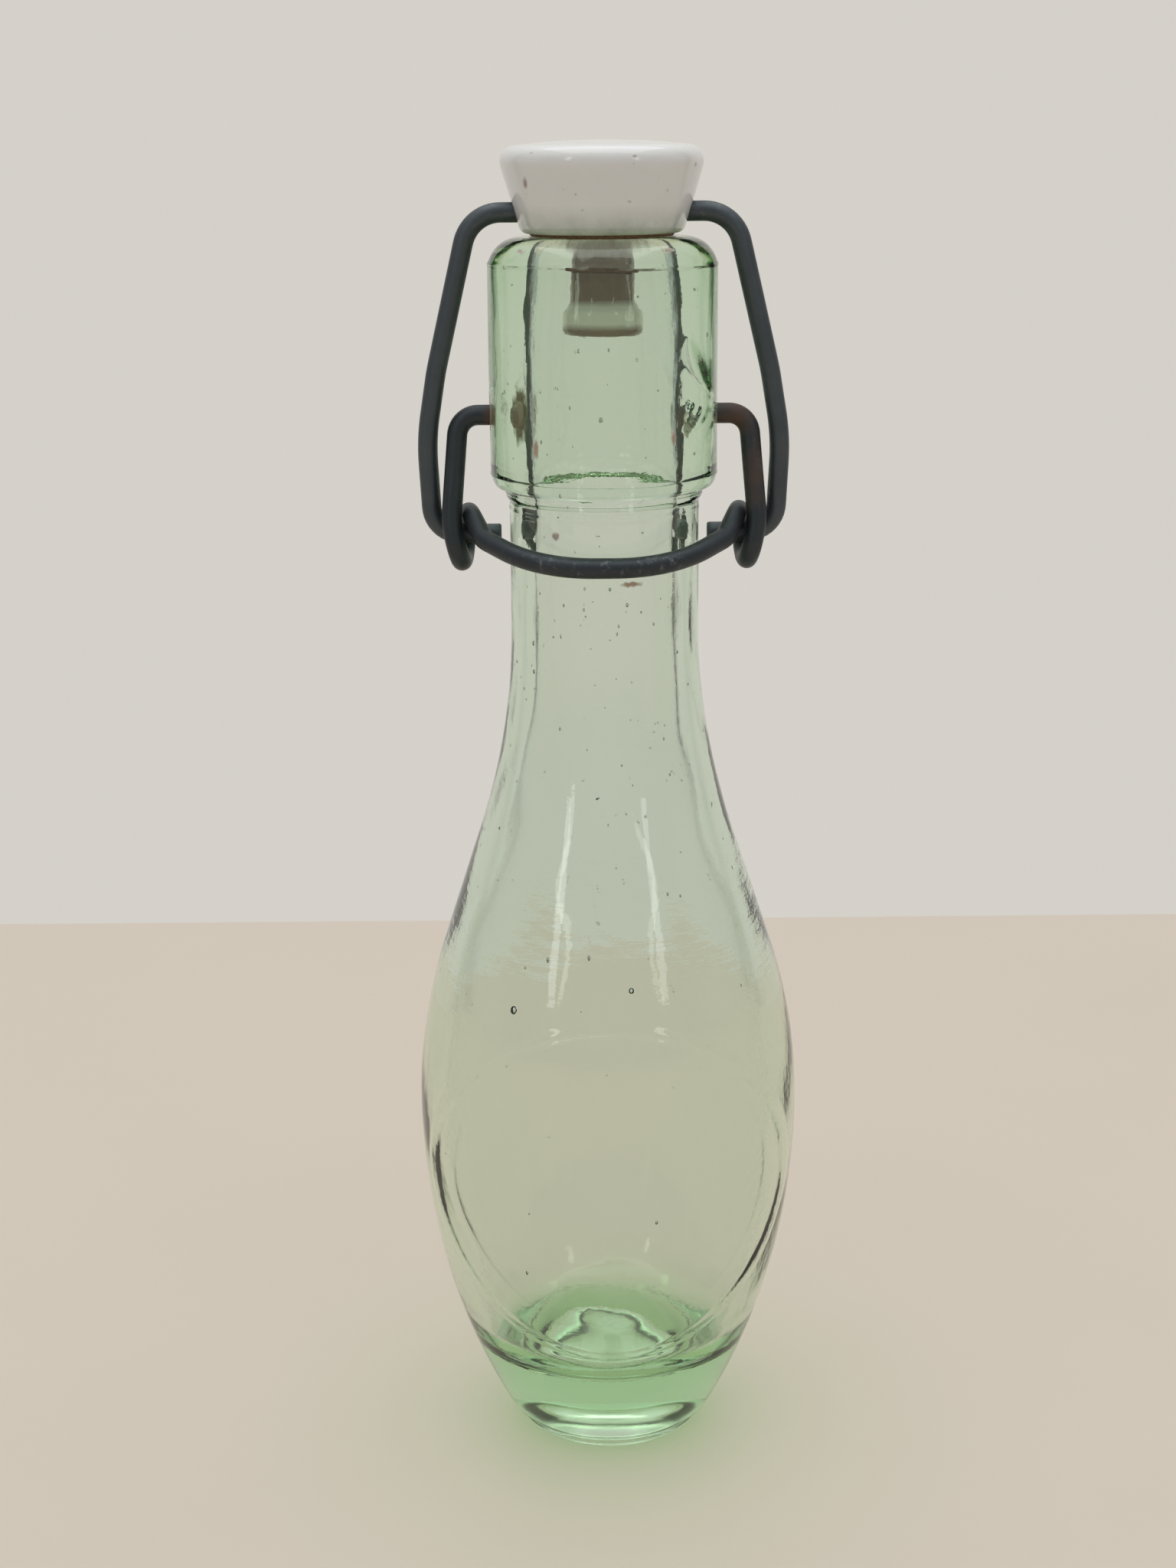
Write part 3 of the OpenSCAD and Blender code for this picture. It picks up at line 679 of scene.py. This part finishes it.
def bubbles():
    """Small voids in the glass: seeds, and two larger bubbles."""
    rng = np.random.default_rng(5)
    seeds, sides, rings = 260, 10, 7
    outside, inside = outer_outline(), inner_outline()
    outside = outside[outside[:, 1] > 4]
    inside = inside[inside[:, 1] > 24][::-1]
    spots = []
    for _ in range(seeds):
        z = rng.choice([rng.uniform(95, 165), rng.uniform(165, 212), rng.uniform(40, 95)],
                       p=[0.6, 0.28, 0.12])
        spots.append((rng.uniform(-math.pi, math.pi), z, rng.uniform(0.2, 0.8),
                      rng.choice([0.10, 0.16, 0.24], p=[0.5, 0.35, 0.15]), rng.uniform(1, 2.2)))
    spots += [(math.asin(-17.3 / 31.3), 89.7, 0.5, 0.62, 1.25),
              (math.asin(4.2 / 30.2), 94.2, 0.5, 0.5, 1.1)]
    a = np.linspace(0, 2 * math.pi, sides, endpoint=False)
    tilt = np.linspace(-math.pi / 2, math.pi / 2, rings + 2)[1:-1]
    ball = np.stack([np.cos(tilt)[:, None] * np.cos(a), np.cos(tilt)[:, None] * np.sin(a),
                     np.repeat(np.sin(tilt)[:, None], sides, 1)], -1)
    verts, faces = [], []
    for angle, z, depth, size, stretch in spots:
        outer = np.interp(z, outside[:, 1], outside[:, 0])
        inner = np.interp(z, inside[:, 1], inside[:, 0])
        r = outer + (inner - outer) * (0.15 + 0.7 * depth)
        centre = np.array([r * math.sin(angle), -r * math.cos(angle), z])
        grid = centre + ball * size * np.array([1, 1, stretch])
        v, f = capped(grid, centre - [0, 0, size * stretch], centre + [0, 0, size * stretch])
        # A void's faces point into it
        f = [face[::-1] for face in outward(v, f)]
        first = len(verts)
        verts += v.tolist()
        faces += [[k + first for k in face] for face in f]
    return verts, faces


def make_bottle():
    obj = new_object("glass_bottle", *bottle_mesh(), glass())
    material = obj.data.materials[0]
    for side in (-1, 1):
        cut(obj, *dimple_cutter(side))
    verts, faces = bubbles()
    mesh = bpy.data.meshes.new("bubbles")
    mesh.from_pydata((np.array(verts) / 1000).tolist(), [], faces)
    joined = bmesh.new()
    joined.from_mesh(obj.data)
    joined.from_mesh(mesh)
    joined.to_mesh(obj.data)
    joined.free()
    bpy.data.meshes.remove(mesh)
    finish_mesh(obj, material)
    obj.data.set_sharp_from_angle(angle=math.radians(35))
    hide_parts("bottle")
    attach(obj, "bottle")


# ---------------------------------------------------------------- stopper and seal
def make_stopper():
    head_z = seal_low[2] + sleeve_len + seal_proud
    base_r, edge_r, rim_r, dome, tilt = 14.1, 1.5, 2.6, 0.8, 16
    # The flange's straight side ends at flange_h, and its slope at slope_h
    flange_r, flange_edge, flange_h, slope_h = 6.7, 1.0, 3.9, 6.1
    stem_r, groove_r = 5.5, 4.85
    groove_low = seal_low[2] - seat_play
    recess_r, recess_z = seal_high[0] + seat_play, seal_high[2]
    rim_z = top_z - dome - rim_r
    t = np.linspace(0.92, 0, 30)
    outline = np.concatenate([
        [[0, stem_z], [flange_r - flange_edge, stem_z]],
        arc((flange_r - flange_edge, stem_z + flange_edge), flange_edge, -90, 0, 10),
        arc((flange_r - flange_edge, stem_z + flange_h), flange_edge, 0, 60, 10),
        [[stem_r, stem_z + slope_h], [stem_r, groove_low], [groove_r, groove_low],
         [groove_r, recess_z], [recess_r, recess_z], [recess_r, head_z]],
        arc((base_r - edge_r, head_z + edge_r), edge_r, -90, -tilt, 16),
        arc((head_r - rim_r, rim_z), rim_r, -tilt, 90, 24),
        np.stack([(head_r - rim_r) * t, top_z - dome * t ** 2], 1),
    ])
    outline = resample(outline, lambda r, z: np.full(len(z), 0.45), 0.14)
    outline[0, 0] = outline[-1, 0] = 0
    rng = np.random.default_rng(3)

    def shape(r, z, a):
        a = np.repeat(a[None], len(r), 0)
        head = np.clip((z - lip_z - 2) / 3, 0, 1) * np.clip(r / 6, 0, 1)
        return r + head * (wave(rng, a, z, 6, (2, 6), (12, 30), 0.05) - 0.03), z

    angles = np.linspace(0, 2 * math.pi, 128, endpoint=False)
    material = porcelain()
    obj = new_object("porcelain_stopper", *lathe(outline, angles, shape), material)
    # The hole for the bail, flared where it comes out at each side
    hole_r, flare, flare_depth, mouth_x, sides = 1.95, 0.75, 0.55, 15.0, 40
    at = np.linspace(-head_r - 1, head_r + 1, 90)
    radius = hole_r + flare * np.exp(-np.clip(mouth_x - np.abs(at), 0, None) / flare_depth)
    a = np.linspace(0, 2 * math.pi, sides, endpoint=False)
    grid = np.stack([np.repeat(at[:, None], sides, 1), radius[:, None] * np.cos(a),
                     bar_z + radius[:, None] * np.sin(a)], -1)
    cut(obj, *capped(grid, [at[0], 0, bar_z], [at[-1], 0, bar_z]))
    finish_mesh(obj, material)
    obj.data.set_sharp_from_angle(angle=math.radians(40))
    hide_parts("stopper")
    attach(obj, "stopper")


def make_seal():
    low, high, out_r = seal_low[2], seal_high[2], seal_high[0]
    face_z = low + sleeve_len
    groove_r, edge_r, fillet_r, cols = 4.9, 0.3, 0.5, 120
    loop = np.concatenate([
        [[groove_r, low], [sleeve_r - edge_r, low], [sleeve_r, low + edge_r]],
        arc((sleeve_r + fillet_r, face_z - fillet_r), fillet_r, 180, 90, 8),
        [[out_r - edge_r, face_z], [out_r, face_z + edge_r], [out_r, high], [groove_r, high],
         [groove_r, low]]])
    pts = resample(loop, lambda r, z: np.full(len(z), 0.35), 0)[:-1]
    a = np.linspace(0, 2 * math.pi, cols, endpoint=False)
    rng = np.random.default_rng(9)
    r, z = np.repeat(pts[:, :1], cols, 1), np.repeat(pts[:, 1:], cols, 1)
    edge = np.clip((r - sleeve_r) / 5, 0, 1)
    r = r - edge * np.abs(wave(rng, a[None], z, 5, (3, 11), (5, 12), 0.12))
    grid = np.stack([r * np.sin(a), -r * np.cos(a), z], -1)
    rings = len(pts)
    i, j = np.meshgrid(np.arange(rings), np.arange(cols), indexing="ij")
    i2, j2 = (i + 1) % rings, (j + 1) % cols
    faces = np.stack([i * cols + j, i * cols + j2, i2 * cols + j2, i2 * cols + j], -1)
    verts, faces = grid.reshape(-1, 3), faces.reshape(-1, 4).tolist()
    obj = new_object("rubber_seal", verts, outward(verts, faces), rubber())
    obj.data.set_sharp_from_angle(angle=math.radians(50))
    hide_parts("seal")
    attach(obj, "stopper")


# ---------------------------------------------------------------- wires
def make_bail():
    lean = over_centre / (bar_z - eye_z)
    half = [[17.9, over_centre, eye_z], [29.7, over_centre, eye_z], [30.5, lean * 38, bar_z - 38],
            [28.6, lean * 26.5, bar_z - 26.5], [22.3, 0, bar_z]]
    bends = [4.8, 40, 40, 6.5]
    line = bent_path(mirrored(half), bends + bends[::-1])

    def worn(t):
        return t.most(t.blot((0, 0, bar_z), (30, 4, 2.6), 0.3),
                      t.ramp(t.noise(11, 3, 0.6), (0.56, 0.0), (0.72, 0.55)))

    def rust(t):
        return t.math("MULTIPLY", t.ramp(t.noise(6, 5, 0.7), (0.60, 0.0), (0.76, 1.0)), 0.35)

    # Painted light: the bail's steel is lighter than the lever's, to stand in for side light on its
    # upright sides
    material = steel("dark_bail_wire", (0.060, 0.073, 0.082), (0.104, 0.120, 0.130), worn, rust)
    rng = np.random.default_rng(21)
    obj = new_object("wire_bail", *wire(line, bail_wire_d, rng), material)
    obj.data.set_sharp_from_angle(angle=math.radians(50))
    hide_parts("bail")
    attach(obj, "bail")


def make_lever():
    eye_r = 4.1
    # The bail's hook hangs in the eye with this much play
    eye_play = 0.15
    mid_z = eye_z + bail_wire_d / 2 + eye_play + lever_wire_d / 2 - eye_r
    eye_top, eye_low = mid_z + eye_r, mid_z - eye_r
    front_y, back_y = over_centre - eye_r, over_centre + eye_r
    inner_x, end_y = 26.4 - 3.4, over_centre - 2.2
    back_x = (24.9 + inner_x) / 2 + 0.3
    arm_y = front_y - 0.8
    wide_z = eye_z + 2.4
    wide_y = arm_y * (pivot_z - wide_z) / (pivot_z - eye_low)
    bow_z = eye_z - 3
    bow_y = -(neck_r + 0.35 + lever_wire_d / 2)
    bend = eye_r - 0.55
    half = [[collar_r - dimple_depth + pin_play, 0, pivot_z], [24.9, 0, pivot_z],
            [26.4, wide_y, wide_z], [24.9, arm_y, eye_low],
            [back_x + 0.3, back_y, eye_low], [back_x - 0.3, back_y, eye_top],
            [inner_x, end_y, eye_top], [20.6, -7.4, bow_z + 3.2],
            [20 * math.tan(math.radians(27.5)) + 0.6, bow_y, bow_z]]
    bends = [3.6, 14, bend, bend, bend, bend, 4, 20]
    line = bent_path(mirrored(half), bends + bends[::-1], 0.5)

    def worn(t):
        bow = t.blot((0, bow_y - 0.6, bow_z + 1.2), (24, 7, 2.6), 0.35)
        arm = t.blot((26.3, -2.2, eye_z + 9), (1.8, 2.6, 9), 0.4)
        return t.most(bow, t.math("MULTIPLY", arm, 0.8),
                      t.ramp(t.noise(9, 3, 0.6), (0.55, 0.0), (0.72, 0.5)))

    def rust(t):
        right = t.blot((22.5, 0, pivot_z - 1), (5.5, 3, 4.5), 0.6, 0.9, 3.0)
        arm = t.blot((26, -2, eye_z + 10), (2.5, 3, 10), 0.6, 1.3, 4.0)
        left = t.blot((-18, 0, pivot_z), (3.5, 3, 3), 0.5, 0.9, 3.0)
        return t.most(t.math("MULTIPLY", right, 0.85), t.math("MULTIPLY", arm, 0.55),
                      t.math("MULTIPLY", left, 0.9))

    material = steel("dark_lever_wire", (0.032, 0.039, 0.044), (0.060, 0.069, 0.075), worn, rust)
    rng = np.random.default_rng(22)
    obj = new_object("wire_lever", *wire(line, lever_wire_d, rng), material)
    obj.data.set_sharp_from_angle(angle=math.radians(50))
    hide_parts("lever")
    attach(obj, "lever")


# ---------------------------------------------------------------- stage, lights, camera
def make_stage():
    t = Tree("plain_pale_floor")
    colour = t.mix(t.noise(60, 2, 0.4), (0.640, 0.560, 0.470), (0.660, 0.580, 0.490))
    material = t.surface(t.node("ShaderNodeBsdfPrincipled", {
        "Base Color": colour, "Roughness": t.ramp(t.noise(90, 2), (0.3, 0.42), (0.7, 0.5)),
        "IOR": 1.35}))
    mesh = bpy.data.meshes.new("floor")
    half_w, near_y, far_y = 4, -5, 0.294
    mesh.from_pydata([(-half_w, near_y, 0), (half_w, near_y, 0), (half_w, far_y, 0),
                      (-half_w, far_y, 0)], [], [(0, 1, 2, 3)])
    floor = bpy.data.objects.new("floor", mesh)
    bpy.context.scene.collection.objects.link(floor)
    mesh.materials.append(material)


def make_world():
    world = bpy.data.worlds.new("studio")
    bpy.context.scene.world = world
    world.use_nodes = True
    t = Nodes(world.node_tree)
    way = t.node("ShaderNodeTexCoord").outputs["Generated"]
    split = t.node("ShaderNodeSeparateXYZ", {0: way}).outputs
    # A pale wall behind, a soft dark zone to each side, mid grey behind the camera,
    # lighter overhead
    turn = t.math("ARCTAN2", split["X"], split["Y"])
    aside = t.math("DIVIDE", t.math("ABSOLUTE", turn), math.pi)
    around = t.ramp(aside, (0.0, (0.665, 0.640, 0.592)), (0.30, (0.640, 0.618, 0.574)),
                    (0.330, (0.46, 0.445, 0.415)), (0.361, (0.07, 0.07, 0.067)),
                    (0.400, (0.40, 0.40, 0.40)), (0.44, (0.46, 0.465, 0.47)),
                    (0.56, (0.42, 0.425, 0.43)), (0.66, (0.26, 0.265, 0.27)),
                    (1.0, (0.32, 0.33, 0.34)))
    above = t.ramp(split["Z"], (0.42, (0, 0, 0)), (0.75, (1, 1, 1)))
    back = t.node("ShaderNodeBackground", {
        "Color": t.mix(above, around, (0.80, 0.81, 0.82)), "Strength": 1.0})
    t.node("ShaderNodeOutputWorld", {"Surface": back.outputs[0]})


def lamp(name, at, aim, size, power):
    data = bpy.data.lights.new(name, "AREA")
    data.shape, data.size, data.size_y = "RECTANGLE", size[0], size[1]
    data.energy = power
    obj = bpy.data.objects.new(name, data)
    bpy.context.scene.collection.objects.link(obj)
    obj.location = at
    obj.rotation_euler = (Vector(aim) - Vector(at)).to_track_quat("-Z", "Y").to_euler()


def make_lights():
    middle = (0, 0, 0.13)
    away, height, a = 1.3, 0.62, math.radians(38)
    for name, side, power in (("window_left", -1, 0.62), ("window_right", 1, 0.5)):
        lamp(name, (side * away * math.sin(a), -away * math.cos(a), height), middle,
             (0.12, 0.55), power)
    lamp("overhead", (0, 0.05, 1.5), (0, 0, 0), (1.5, 1.5), 9.0)


def make_camera():
    # Fitted to the bottle's outline in the photograph: place in metres, angles in degrees
    place, pitch_down, roll = (-0.0032, -0.410, 0.235), 15.2, -0.50
    focal_px, photo_h_px = 3100, 2048
    data = bpy.data.cameras.new("camera")
    data.sensor_width, data.lens = 36, 36 * focal_px / photo_h_px
    data.clip_start = 0.01
    cam = bpy.data.objects.new("camera", data)
    bpy.context.scene.collection.objects.link(cam)
    cam.matrix_world = (Matrix.Translation(place)
                        @ Matrix.Rotation(math.radians(90 - pitch_down), 4, "X")
                        @ Matrix.Rotation(math.radians(roll), 4, "Z"))
    bpy.context.scene.camera = cam


make_bottle()
make_stopper()
make_seal()
make_bail()
make_lever()
make_stage()
make_world()
make_lights()
make_camera()

bpy.context.scene.view_settings.view_transform = "Standard"
